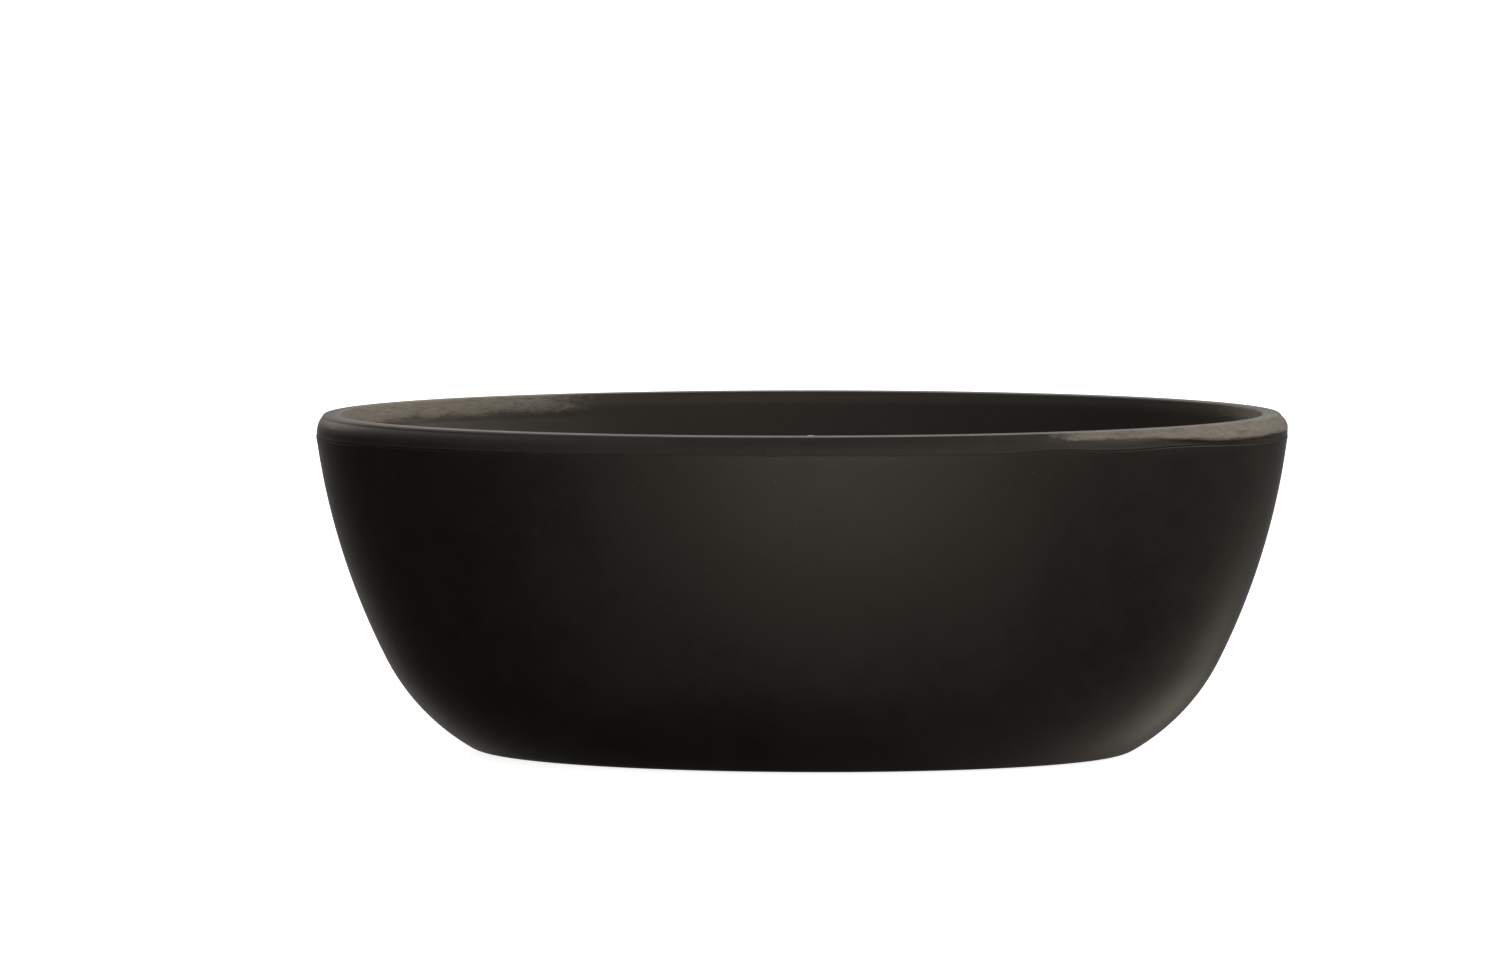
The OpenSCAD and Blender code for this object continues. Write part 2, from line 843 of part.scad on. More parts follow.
module trap_body() {
    color(pipe_white)
    difference() {
        union() {
            translate([0, 0, 12])
            cylinder(h = trap_top_z - 12, r = trap_r, $fn = round_fn);
            translate([0, 0, trap_top_z - 1])
            cylinder(h = neck_z - trap_top_z + 1, r = 17.4, $fn = round_fn);
            translate([0, 0, neck_z - 3])
            cylinder(h = 2.9, r = 19.2, $fn = round_fn);
            translate([0, 0, outlet_z])
            rotate([0, -90, 0])
            cylinder(h = 82, r = 18, $fn = round_fn);
        }
        translate([0, 0, 11])
        cylinder(h = trap_top_z - 11 - trap_wall, r = trap_r - trap_wall, $fn = round_fn);
        translate([0, 0, 40])
        cylinder(h = 50, r = 15, $fn = round_fn);
        translate([-trap_r + 8, 0, outlet_z])
        rotate([0, -90, 0])
        cylinder(h = 60, r = 15.6, $fn = round_fn);
    }
}

module trap_cleanout_cap() {
    color(pipe_white) {
        rotate_extrude($fn = round_fn)
        polygon([[0, 5], [47, 5], [50, 8], [50, 24], [46.3, 24], [46.3, 9], [0, 9]]);
        nut_grips(9, 14, 50);
    }
}

module trap_outlet_nut() {
    color(pipe_white)
    translate([-74, 0, outlet_z])
    rotate([0, -90, 0]) {
        rotate_extrude($fn = round_fn)
        polygon([[18.4, 0], [24, 0], [24, 18], [17.9, 18], [17.9, 9], [18.4, 9]]);
        nut_grips(1, 14, 24.4);
    }
}

module outlet_pipe() {
    start_x = -82.4;
    color(pipe_white)
    translate([start_x, 0, outlet_z])
    rotate([0, -90, 0])
    ring(0, start_x - bend_x - 0.5, outlet_r, 15.6);
}

module elbow_seal() {
    color(rubber)
    translate([socket_x + 4, 0, outlet_z])
    rotate([0, -90, 0])
    ring(0, 4, 22, outlet_r + 0.1);
}

// socket, quarter bend and a spigot that points at the floor
module outlet_elbow() {
    socket_r = 22;
    color(pipe_white) {
        translate([socket_x, 0, outlet_z])
        rotate([0, -90, 0])
        ring(0, socket_x - bend_x, socket_r, outlet_r + 0.1);
        translate([bend_x, 0, outlet_z - elbow_bend])
        rotate([90, 0, 0])
        rotate_extrude(angle = 90, start = 90, $fn = round_fn)
        translate([elbow_bend, 0])
        difference() {
            circle(r = elbow_r, $fn = round_fn);
            circle(r = elbow_in_r, $fn = round_fn);
        }
        translate([elbow_x, 0, 0])
        ring(3, outlet_z - elbow_bend, elbow_r, elbow_in_r);
    }
}

basin();
outer_shell();
rim_bond();
support_board();
rail_strips();
left_long_rails();
left_cross_rails();
right_long_rails();
right_cross_rails();
rail_end_caps();
weld_nuts();
lock_nuts();
foot_stud(0);  // foot_stud_1
foot_stud(1);  // foot_stud_2
foot_stud(2);  // foot_stud_3
foot_stud(3);  // foot_stud_4
foot_pad(0);  // foot_pad_1
foot_pad(1);  // foot_pad_2
foot_pad(2);  // foot_pad_3
foot_pad(3);  // foot_pad_4
foot_sole(0);  // foot_sole_1
foot_sole(1);  // foot_sole_2
foot_sole(2);  // foot_sole_3
foot_sole(3);  // foot_sole_4
skirt_brackets();
rail_bolts();
flange_bolts();
waste_flange();
waste_gasket_top();
waste_gasket_bottom();
waste_body();
plug_cap();
plug_seal();
plug_stem();
plug_cartridge();
plug_spring();
overflow_ring();
overflow_cover();
overflow_screw();
overflow_gasket();
overflow_elbow();
overflow_hose();
hose_clamps();
trap_inlet_nut();
trap_inlet_washer();
trap_dip_tube();
trap_body();
trap_cleanout_cap();
trap_outlet_nut();
outlet_pipe();
elbow_seal();
outlet_elbow();
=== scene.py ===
import json
import math

import bpy
import numpy as np
from mathutils import Matrix, Vector


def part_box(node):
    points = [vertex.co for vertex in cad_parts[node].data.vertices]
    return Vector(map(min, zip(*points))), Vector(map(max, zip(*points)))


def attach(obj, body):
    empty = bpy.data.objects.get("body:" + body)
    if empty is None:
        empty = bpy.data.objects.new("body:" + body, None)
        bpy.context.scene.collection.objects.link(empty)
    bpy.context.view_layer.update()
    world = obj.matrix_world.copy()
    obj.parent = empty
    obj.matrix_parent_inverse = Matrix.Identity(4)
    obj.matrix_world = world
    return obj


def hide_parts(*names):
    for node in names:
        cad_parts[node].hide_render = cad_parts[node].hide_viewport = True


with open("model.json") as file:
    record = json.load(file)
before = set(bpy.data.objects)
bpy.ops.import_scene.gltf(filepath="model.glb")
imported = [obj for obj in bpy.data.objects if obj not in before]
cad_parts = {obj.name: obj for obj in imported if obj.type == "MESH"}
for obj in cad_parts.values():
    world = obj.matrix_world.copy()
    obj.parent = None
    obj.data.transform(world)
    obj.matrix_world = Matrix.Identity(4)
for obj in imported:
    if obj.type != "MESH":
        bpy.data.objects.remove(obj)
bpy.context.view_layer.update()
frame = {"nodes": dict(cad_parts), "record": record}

NODES = frame["nodes"]
MM = 0.001

# ------------------------------------------------------------------ sizes
basin_lo, basin_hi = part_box("basin")
shell_lo, shell_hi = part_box("outer_shell")
HALF_L = basin_hi.x
HALF_W = basin_hi.y
RIM_Z = basin_hi.z
SHELL_Z = shell_lo.z
BEVEL_END = 38 * MM
BEVEL_SIDE = 29 * MM
BEVEL_IN = 12.6 * MM
RIM_FLAT = 30 * MM
INNER_BEVEL_H = 16 * MM
INNER_BEVEL_IN = 6 * MM
BOND = 1 * MM
SKIN = 10 * MM
SEAM_Z = RIM_Z - BEVEL_END
SEAM_RISE = BEVEL_END - BEVEL_SIDE
WALL_LEAN = (6.8, 26.0, 59.0, 90.0)
WALL_LOW_R = 379 * MM
BASE_R = 55 * MM
BASE_FLANGE = 30 * MM
SIDE_SHARE = 0.645
SIDE_LEAD = SEAM_RISE * math.tan(math.radians(WALL_LEAN[0])) * SIDE_SHARE
INNER_LEAN = (10.0, 30.0, 90.0)
FLOOR_R = 110 * MM
INNER_SHARE = 0.62
INNER_TOP_IN = BEVEL_IN + RIM_FLAT + INNER_BEVEL_IN
INNER_TOP_Z = RIM_Z - INNER_BEVEL_H
FLOOR_EDGE_Z = 152 * MM
FLOOR_DRAIN_Z = 150 * MM
FLOOR_UNDER_Z = 138 * MM
DRAIN_R = 25 * MM
RECESS_R = 36.5 * MM
RECESS_Z = 147.5 * MM
ROUND = 480
SHARP = math.radians(40)

ANGLE = 2 * math.pi * np.arange(ROUND) / ROUND
COS, SIN = np.cos(ANGLE), np.sin(ANGLE)


def sind(a):
    return math.sin(math.radians(a))


def cosd(a):
    return math.cos(math.radians(a))


def step(v, a, b):
    """0 below a, 1 above b, smooth between."""
    u = np.clip((v - a) / (b - a), 0, 1)
    return u * u * (3 - 2 * u)


def hand_wave(t):
    """How far the hand-cut seam strays from its true line, in metres."""
    wave = 0.5 * np.sin(7 * t + 0.6) + 0.3 * np.sin(13 * t + 2.1) + 0.25 * np.sin(23 * t + 4.0)
    return 0.45 * MM * wave


def near_hump(middle, width):
    """1 at one place on the near side of the +X end, 0 away from it."""
    return np.exp(-((COS - middle) / width) ** 2) * step(-SIN, 0.0, 0.3)


# height of the seam line over its lowest point, with two humps where it was dressed higher
HUMPS = MM * (5.2 * near_hump(0.54, 0.07) + 5.0 * near_hump(0.79, 0.11))
SEAM = SEAM_RISE * SIN * SIN + hand_wave(ANGLE) + HUMPS
# the seam is filled flush on the long sides
FLUSH = 1 - step(np.abs(COS), 0.42, 0.62)


def oval(ix, iy, z, seam=0.0, push=None):
    """One ring: end inset, side inset, height, share of the seam line, extra outward push per point."""
    p = np.zeros(ROUND) if push is None else push
    return np.stack([(HALF_L - ix + p) * COS, (HALF_W - iy + p) * SIN, z + seam * SEAM], axis=1)


def arc_down(start, lean_a, lean_b, r, steps):
    """Points (inset, height, lean) down a tangent arc."""
    out = []
    for i in range(1, steps + 1):
        a = lean_a + (lean_b - lean_a) * i / steps
        out.append((start[0] + r * (cosd(lean_a) - cosd(a)), start[1] - r * (sind(a) - sind(lean_a)), a))
    return out


def side_offset(lean, share, t):
    """Inset of the long side that keeps thickness t behind a wall of that lean at the ends."""
    if lean > 89:
        return 0.0
    b = math.atan(share * math.tan(math.radians(lean)))
    return t * math.cos(b) - t * math.tan(b) * (sind(lean) - math.sin(b))


def corner(a, b, c, steps):
    """A soft edge from a to c that bends round b, as (inset, height) points."""
    out = []
    for i in range(steps + 1):
        u = i / steps
        out.append(tuple((1 - u) ** 2 * a[k] + 2 * u * (1 - u) * b[k] + u * u * c[k] for k in (0, 1)))
    return out


def loft(name, rings):
    """A closed ring body from rings that go round its section."""
    n, m = ROUND, len(rings)
    co = np.concatenate(rings)
    i = np.arange(n)
    j = (i + 1) % n
    faces = []
    for r in range(m):
        s = (r + 1) % m
        faces.append(np.stack([r * n + i, r * n + j, s * n + j, s * n + i], axis=1))
    faces = np.concatenate(faces)
    me = bpy.data.meshes.new(name)
    me.from_pydata(co.tolist(), [], faces.tolist())
    me.validate()
    me.shade_smooth()
    me.set_sharp_from_angle(angle=SHARP)
    ob = bpy.data.objects.new(name, me)
    bpy.context.scene.collection.objects.link(ob)
    return ob


# ------------------------------------------------------------------ node helpers
class Nodes:
    """A short way to write a node tree."""

    def __init__(self, tree):
        self.tree = tree
        tree.nodes.clear()

    def add(self, kind, inputs=None, **props):
        node = self.tree.nodes.new(kind)
        for key, value in props.items():
            setattr(node, key, value)
        for key, value in (inputs or {}).items():
            socket = node.inputs[key]
            if isinstance(value, bpy.types.NodeSocket):
                self.tree.links.new(value, socket)
            else:
                socket.default_value = value
        return node

    def math(self, op, a, b=0.0):
        return self.add("ShaderNodeMath", {0: a, 1: b}, operation=op).outputs[0]

    def ramp(self, value, low, high, out_low=0.0, out_high=1.0):
        node = self.add("ShaderNodeMapRange", {"Value": value, "From Min": low, "From Max": high,
                                               "To Min": out_low, "To Max": out_high},
                        interpolation_type="SMOOTHSTEP")
        return node.outputs["Result"]

    def noise(self, where, scale, detail=3.0, rough=0.5, distort=0.0):
        return self.add("ShaderNodeTexNoise", {"Vector": where, "Scale": scale, "Detail": detail,
                                               "Roughness": rough, "Distortion": distort}).outputs["Fac"]

    def voronoi(self, where, scale):
        return self.add("ShaderNodeTexVoronoi", {"Vector": where, "Scale": scale}, feature="F1")

    def mix(self, fac, a, b):
        node = self.add("ShaderNodeMix", {"Factor": fac}, data_type="RGBA")
        for key, value in ((6, a), (7, b)):
            if isinstance(value, bpy.types.NodeSocket):
                self.tree.links.new(value, node.inputs[key])
            else:
                node.inputs[key].default_value = (*value, 1.0)
        return node.outputs[2]

    def stretch(self, where, x, y, z):
        return self.add("ShaderNodeMapping", {"Vector": where, "Scale": (x, y, z)}).outputs["Vector"]

    def attribute(self, name):
        return self.add("ShaderNodeAttribute", attribute_name=name).outputs["Fac"]

    def bump(self, height, distance, strength=1.0, normal=None):
        inputs = {"Height": height, "Distance": distance, "Strength": strength}
        if normal is not None:
            inputs["Normal"] = normal
        return self.add("ShaderNodeBump", inputs).outputs["Normal"]


def material(name):
    mat = bpy.data.materials.new(name)
    mat.use_nodes = True
    n = Nodes(mat.node_tree)
    where = n.add("ShaderNodeTexCoord").outputs["Object"]
    shader = n.add("ShaderNodeBsdfPrincipled")
    out = n.add("ShaderNodeOutputMaterial")
    n.tree.links.new(shader.outputs["BSDF"], out.inputs["Surface"])

    def surface(**sockets):
        for key, value in sockets.items():
            socket = shader.inputs[key.replace("_", " ")]
            if isinstance(value, bpy.types.NodeSocket):
                n.tree.links.new(value, socket)
            else:
                socket.default_value = value

    return mat, n, where, surface


# ------------------------------------------------------------------ materials
def make_cast_stone(name, scuffs_and_painted_light):
    mat, n, where, surface = material(name)
    cloud = n.noise(where, 5.0, 4.0, 0.55, 0.3)
    patch = n.noise(where, 26.0, 4.0, 0.6)
    grain = n.noise(where, 420.0, 2.0, 0.6)
    peel = n.noise(where, 900.0, 2.0, 0.5)
    tone = n.math("ADD", n.math("MULTIPLY", cloud, 0.6), n.math("MULTIPLY", patch, 0.4))
    base = n.mix(n.ramp(tone, 0.35, 0.65), (0.0042, 0.0039, 0.0033), (0.0082, 0.0075, 0.0063))
    base = n.mix(n.ramp(grain, 0.45, 0.75, 0.0, 0.5), base, (0.019, 0.018, 0.016))
    cells = n.voronoi(where, 150.0)
    dot = n.math("LESS_THAN", cells.outputs["Distance"], 0.075)
    chance = n.add("ShaderNodeSeparateColor", {"Color": cells.outputs["Color"]}).outputs[0]
    rare = n.math("GREATER_THAN", chance, 0.975)
    base = n.mix(n.math("MULTIPLY", dot, rare), base, (0.16, 0.15, 0.13))
    rough = n.math("ADD", 0.43, n.math("MULTIPLY", n.math("SUBTRACT", tone, 0.5), 0.22))
    rough = n.math("ADD", rough, n.math("MULTIPLY", n.math("SUBTRACT", grain, 0.5), 0.10))
    pits = n.ramp(n.voronoi(where, 330.0).outputs["Distance"], 0.0, 0.28, 0.0, 1.0)
    pit_gate = n.ramp(n.noise(where, 9.0, 2.0), 0.5, 0.7)
    pits = n.math("ADD", 1.0, n.math("MULTIPLY", n.math("SUBTRACT", pits, 1.0), pit_gate))
    normal = n.bump(n.noise(where, 16.0, 3.0, 0.5), 0.0012, 0.35)
    normal = n.bump(peel, 0.00022, 0.35, normal)
    normal = n.bump(grain, 0.0003, 0.22, normal)
    normal = n.bump(pits, 0.0003, 0.4, normal)
    # scuffs on the rim, with a painted highlight on them and painted light on the inner wall
    if scuffs_and_painted_light:
        along = n.stretch(where, 1.0, 1.0, 3.2)
        blotch = n.noise(along, 30.0, 6.0, 0.68, 0.8)
        streak = n.noise(n.stretch(where, 0.35, 0.35, 2.4), 160.0, 4.0, 0.7, 0.5)
        worn_and_painted_highlight = n.attribute("worn_and_painted_highlight")
        mottle = n.math("ADD", n.math("MULTIPLY", blotch, 0.6), n.math("MULTIPLY", streak, 0.4))
        broken = n.math("MULTIPLY", n.math("SUBTRACT", mottle, 0.5), 2.2)
        amount = n.ramp(n.math("ADD", worn_and_painted_highlight, broken), 0.35, 1.15)
        amount = n.math("MULTIPLY", amount, n.ramp(worn_and_painted_highlight, 0.0, 0.3))
        # painted light: the inner wall is made paler where light falls on it, broken up by the mottle
        painted_light_share = n.math("MULTIPLY", n.attribute("pale"), n.ramp(mottle, 0.2, 0.7, 0.6, 1.0))
        base = n.mix(painted_light_share, base, (0.075, 0.068, 0.056))
        # scuffed rim colour, partly real wear and partly a painted highlight on the upper bevel facet and the
        # inner edge
        base = n.mix(amount, base, (0.160, 0.149, 0.128))
        rough = n.math("ADD", rough, n.math("MULTIPLY", amount, 0.10))
        normal = n.bump(n.math("MULTIPLY", worn_and_painted_highlight, streak), 0.0012, 0.6, normal)
        normal = n.bump(n.math("MULTIPLY", worn_and_painted_highlight, blotch), 0.0030, 0.6, normal)
    surface(Base_Color=base, Roughness=rough, Normal=normal)
    surface(Specular_IOR_Level=0.5, IOR=1.5, Specular_Tint=(1.0, 0.94, 0.86, 1.0))
    return mat


def make_plain(name, low, high, rough, metal=0.0, grain_scale=500.0, cloud_scale=30.0, bump=0.1,
               coat=0.0):
    """Moulded, plated or painted material: cloudy tone, fine grain, uneven roughness."""
    mat, n, where, surface = material(name)
    cloud = n.noise(where, cloud_scale, 4.0, 0.6)
    grain = n.noise(where, grain_scale, 3.0, 0.6)
    base = n.mix(n.ramp(cloud, 0.3, 0.7), low, high)
    base = n.mix(n.ramp(grain, 0.5, 0.8, 0.0, 0.25), base, tuple(0.75 * c for c in low))
    value = n.math("ADD", rough, n.math("MULTIPLY", n.math("SUBTRACT", cloud, 0.5), 0.35 * rough + 0.05))
    value = n.math("ADD", value, n.math("MULTIPLY", n.math("SUBTRACT", grain, 0.5), 0.25 * rough + 0.03))
    normal = n.bump(grain, 0.0002, bump)
    normal = n.bump(cloud, 0.0006, bump, normal)
    surface(Base_Color=base, Roughness=value, Normal=normal, Metallic=metal)
    if coat:
        surface(Coat_Weight=coat, Coat_Roughness=0.15)
    return mat


def make_plywood(name):
    mat, n, where, surface = material(name)
    xyz = n.add("ShaderNodeSeparateXYZ", {"Vector": where})
    ring = n.noise(n.stretch(where, 1.2, 9.0, 9.0), 9.0, 5.0, 0.6, 1.2)
    fibre = n.noise(n.stretch(where, 1.0, 22.0, 22.0), 40.0, 3.0, 0.6)
    face = n.mix(n.ramp(ring, 0.35, 0.65), (0.50, 0.35, 0.19), (0.66, 0.50, 0.31))
    face = n.mix(n.ramp(fibre, 0.45, 0.8, 0.0, 0.5), face, (0.36, 0.23, 0.12))
    plies = n.math("PINGPONG", n.math("MULTIPLY", xyz.outputs["Z"], 400.0), 1.0)
    edge = n.mix(n.ramp(plies, 0.35, 0.65), (0.30, 0.19, 0.10), (0.62, 0.46, 0.28))
    up = n.add("ShaderNodeSeparateXYZ", {"Vector": n.add("ShaderNodeNewGeometry").outputs["Normal"]})
    flat = n.ramp(n.math("ABSOLUTE", up.outputs["Z"]), 0.4, 0.8)
    surface(Base_Color=n.mix(flat, edge, face), Roughness=n.ramp(fibre, 0.2, 0.8, 0.55, 0.8),
            Normal=n.bump(fibre, 0.0004, 0.4))
    return mat


MAT = {
    "black_stone": make_cast_stone("cast_stone", False),
    "black_stone_rim": make_cast_stone("cast_stone_rim", True),
    "seam_adhesive": make_plain("seam_adhesive", (0.006, 0.006, 0.006), (0.014, 0.013, 0.012), 0.8,
                                bump=0.5),
    "plywood": make_plywood("plywood"),
    "black_rubber": make_plain("black_rubber", (0.012, 0.012, 0.012), (0.028, 0.027, 0.026), 0.75, bump=0.4),
    "zinc_steel": make_plain("zinc_steel", (0.50, 0.50, 0.48), (0.66, 0.66, 0.62), 0.34, 1.0, 260.0, 60.0,
                             0.15),
    "grey_tube": make_plain("grey_tube", (0.075, 0.080, 0.085), (0.11, 0.115, 0.12), 0.42, 0.0, 700.0, 12.0,
                            0.3, coat=0.3),
    "black_plastic": make_plain("black_plastic", (0.016, 0.016, 0.016), (0.030, 0.030, 0.030), 0.5,
                                bump=0.3),
    "white_plastic": make_plain("white_plastic", (0.70, 0.70, 0.67), (0.80, 0.80, 0.78), 0.36, 0.0, 800.0,
                                20.0, 0.12),
    "brass_chrome": make_plain("chrome", (0.62, 0.63, 0.65), (0.74, 0.75, 0.77), 0.10, 1.0, 300.0, 40.0,
                               0.03),
    "spring_steel": make_plain("spring_steel", (0.42, 0.43, 0.45), (0.55, 0.56, 0.58), 0.28, 1.0, 400.0,
                               80.0, 0.1),
}

SLOT_OF = {s["node"]: s["material_slot"] for s in frame["record"]["subparts"]}


def paint(ob, mat):
    ob.data.materials.clear()
    ob.data.materials.append(mat)


for name, ob in NODES.items():
    paint(ob, MAT[SLOT_OF[name]])

# ------------------------------------------------------------------ outer skin
wall_low = WALL_LOW_R * (sind(59) - sind(26)) + BASE_R * (1 - sind(59))
WALL_R = (SEAM_Z - SHELL_Z - wall_low) / (sind(26) - sind(WALL_LEAN[0]))
wall = arc_down((0.0, SEAM_Z), WALL_LEAN[0], WALL_LEAN[1], WALL_R, 34)
wall += arc_down(wall[-1], WALL_LEAN[1], WALL_LEAN[2], WALL_LOW_R, 22)
wall += arc_down(wall[-1], WALL_LEAN[2], 90, BASE_R, 12)
BASE_IN = wall[-1][0]


def side_in(ix):
    return SIDE_LEAD + SIDE_SHARE * ix


edge = 0.7 * MM
lip_x = BASE_IN + BASE_FLANGE
lip_y = side_in(BASE_IN) + BASE_FLANGE
rings = [oval(lip_x, lip_y, SHELL_Z + edge), oval(lip_x - edge, lip_y - edge, SHELL_Z)]
rings += [oval(p[0], side_in(p[0]), p[1]) for p in reversed(wall)]
top = SEAM_Z - BOND
rings += [oval(0, 0, top - 2.0 * MM, 1), oval(0, 0, top - edge, 1),
          oval(0.3 * edge, 0.3 * edge, top - 0.3 * edge, 1, 0.3 * edge * FLUSH),
          oval(edge, edge, top, 1, 0.9 * edge * FLUSH), oval(SKIN, SKIN, top, 1)]
rings += [oval(p[0] + SKIN * cosd(p[2]), side_in(p[0]) + side_offset(p[2], SIDE_SHARE, SKIN),
               p[1] + SKIN * sind(p[2])) for p in wall[2::2]]
rings += [oval(lip_x - edge, lip_y - edge, SHELL_Z + SKIN), oval(lip_x, lip_y, SHELL_Z + SKIN - edge)]
outer = loft("outer_skin", rings)
paint(outer, MAT["black_stone"])
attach(outer, "tub")
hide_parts("outer_shell")

bond = loft("rim_seam", [oval(1.1 * MM, 1.1 * MM, top, 1, 1.0 * MM * FLUSH),
                         oval(1.1 * MM, 1.1 * MM, SEAM_Z, 1, 1.0 * MM * FLUSH),
                         oval(9 * MM, 9 * MM, SEAM_Z, 1), oval(9 * MM, 9 * MM, top, 1)])
paint(bond, MAT["seam_adhesive"])
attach(bond, "tub")
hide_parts("rim_bond")

# ------------------------------------------------------------------ basin with the bevelled rim
lean_rise = sind(INNER_LEAN[1]) - sind(INNER_LEAN[0])
INNER_R = (INNER_TOP_Z - FLOOR_EDGE_Z - FLOOR_R * (1 - sind(30))) / lean_rise
inner = arc_down((INNER_TOP_IN, INNER_TOP_Z), 10, 30, INNER_R, 34)
inner += arc_down(inner[-1], 30, 90, FLOOR_R, 22)
BACK_IN = INNER_TOP_IN - SKIN * cosd(10)
BACK_Z = INNER_TOP_Z - SKIN * sind(10)
BACK_LOW_R = FLOOR_R + SKIN
BACK_R = (BACK_Z - FLOOR_UNDER_Z - BACK_LOW_R * (1 - sind(30))) / lean_rise
back = arc_down((BACK_IN, BACK_Z), 10, 30, BACK_R, 14)
back += arc_down(back[-1], 30, 90, BACK_LOW_R, 10)

TOP_OUT = BEVEL_IN
TOP_IN = BEVEL_IN + RIM_FLAT
# the hand-dressed bevel is crowned, more so at the ends, and has two soft facets towards the +X end
CROWN = MM * (0.6 + 2.8 * COS * COS + 0.9 * step(COS, 0.6, 0.9)) * (1 + 0.08 * np.sin(11 * ANGLE + 1.0))
FACET_DEPTH = 0.2 + 1.9 * step(COS, 0.40, 0.55) * (1 - 0.6 * step(COS, 0.85, 0.98))
FACET = MM * FACET_DEPTH * (1 + 0.3 * np.sin(9 * ANGLE + 0.5))
FACET_AT = 0.50 + 0.12 * np.sin(6 * ANGLE + 0.4) + 0.05 * np.sin(17 * ANGLE)

rings = [oval(edge, edge, SEAM_Z, 1, 0.9 * edge * FLUSH),
         oval(0.3 * edge, 0.3 * edge, SEAM_Z + 0.3 * edge, 1, 0.3 * edge * FLUSH), oval(0, 0, SEAM_Z + edge, 1)]
bevel_top = (TOP_OUT - 1.6 * MM, RIM_Z - 4.5 * MM)
for i in range(1, 18):
    s = i / 18
    swell = 5.65 * s ** 1.6 * (1 - s)
    ridge = np.where(s < FACET_AT, s / FACET_AT, (1 - s) / (1 - FACET_AT))
    rings.append(oval(bevel_top[0] * s, bevel_top[0] * s, (SEAM_Z + edge) * (1 - s) + bevel_top[1] * s, 1 - s,
                      CROWN * swell + FACET * ridge))
for ix, z in corner(bevel_top, (TOP_OUT - 0.1 * MM, RIM_Z), (TOP_OUT + 3.4 * MM, RIM_Z), 8):
    rings.append(oval(ix, ix, z))
rings += [oval(TOP_OUT + RIM_FLAT * s, TOP_OUT + RIM_FLAT * s, RIM_Z) for s in (0.25, 0.5, 0.75)]
for ix, z in corner((TOP_IN - 2.1 * MM, RIM_Z), (TOP_IN + 0.1 * MM, RIM_Z),
                    (TOP_IN + 1.2 * MM, RIM_Z - 3 * MM), 6):
    rings.append(oval(ix, ix, z))
soft = corner((TOP_IN + 0.45 * (INNER_TOP_IN - TOP_IN), RIM_Z - 0.45 * INNER_BEVEL_H),
              (INNER_TOP_IN, INNER_TOP_Z), (inner[0][0], inner[0][1]), 10)
for i in range(1, 4):
    s = i / 4
    a = (TOP_IN + 1.2 * MM, RIM_Z - 3 * MM)
    ix, z = a[0] + (soft[0][0] - a[0]) * s, a[1] + (soft[0][1] - a[1]) * s
    rings.append(oval(ix, ix, z))


def inner_side(ix, top_in):
    return top_in + INNER_SHARE * (ix - top_in)


rings += [oval(ix, ix if ix <= INNER_TOP_IN else inner_side(ix, INNER_TOP_IN), z) for ix, z in soft[:-1]]
rings += [oval(p[0], inner_side(p[0], INNER_TOP_IN), p[1]) for p in inner]
floor_x, floor_y = HALF_L - inner[-1][0], HALF_W - inner_side(inner[-1][0], INNER_TOP_IN)
for i in range(1, 12):
    s = i / 11
    fx, fy = floor_x + (RECESS_R + 1 * MM - floor_x) * s, floor_y + (RECESS_R + 1 * MM - floor_y) * s
    rings.append(oval(HALF_L - fx, HALF_W - fy, FLOOR_EDGE_Z + (FLOOR_DRAIN_Z - FLOOR_EDGE_Z) * s))


def disc(r, z):
    return oval(HALF_L - r, HALF_W - r, z)


rings += [disc(RECESS_R + 0.2 * MM, FLOOR_DRAIN_Z - 0.3 * MM), disc(RECESS_R, FLOOR_DRAIN_Z - 0.8 * MM),
          disc(RECESS_R, RECESS_Z), disc(DRAIN_R, RECESS_Z), disc(DRAIN_R, FLOOR_UNDER_Z)]
under_x, under_y = HALF_L - back[-1][0], HALF_W - inner_side(back[-1][0], BACK_IN)
for s in (0.33, 0.66):
    rings.append(oval(HALF_L - (DRAIN_R + (under_x - DRAIN_R) * s), HALF_W - (DRAIN_R + (under_y - DRAIN_R) * s),
                      FLOOR_UNDER_Z))
rings += [oval(p[0], inner_side(p[0], BACK_IN), p[1]) for p in reversed(back)]
UNDER_IN = BACK_IN + (BACK_Z - SEAM_Z) * math.tan(math.radians(10))
rings.append(oval(UNDER_IN, UNDER_IN, SEAM_Z, 1))
basin = loft("basin_cast", rings)

# overflow hole
over_lo, over_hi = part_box("overflow_gasket")
over_c = (over_lo + over_hi) / 2
OVER_SIN = sind(10) + (INNER_TOP_Z - 490 * MM) / INNER_R
OVER_COS = math.sqrt(1 - OVER_SIN * OVER_SIN)
OVER_LEAN = math.atan(INNER_SHARE * OVER_SIN / OVER_COS)
over_axis = Vector((0, math.cos(OVER_LEAN), -math.sin(OVER_LEAN)))


def tube_mesh(name, r, length, centre, axis, steps=96):
    """A closed round plug, used to cut a hole."""
    side = axis.orthogonal().normalized()
    up = axis.cross(side)
    co, faces = [], []
    for k, h in enumerate((-length / 2, length / 2)):
        for i in range(steps):
            a = 2 * math.pi * i / steps
            co.append(centre + axis * h + side * (r * math.cos(a)) + up * (r * math.sin(a)))
    for i in range(steps):
        j = (i + 1) % steps
        faces.append((i, j, steps + j, steps + i))
    faces.append(tuple(range(steps - 1, -1, -1)))
    faces.append(tuple(range(steps, 2 * steps)))
    me = bpy.data.meshes.new(name)
    me.from_pydata([tuple(c) for c in co], [], faces)
    ob = bpy.data.objects.new(name, me)
    bpy.context.scene.collection.objects.link(ob)
    return ob


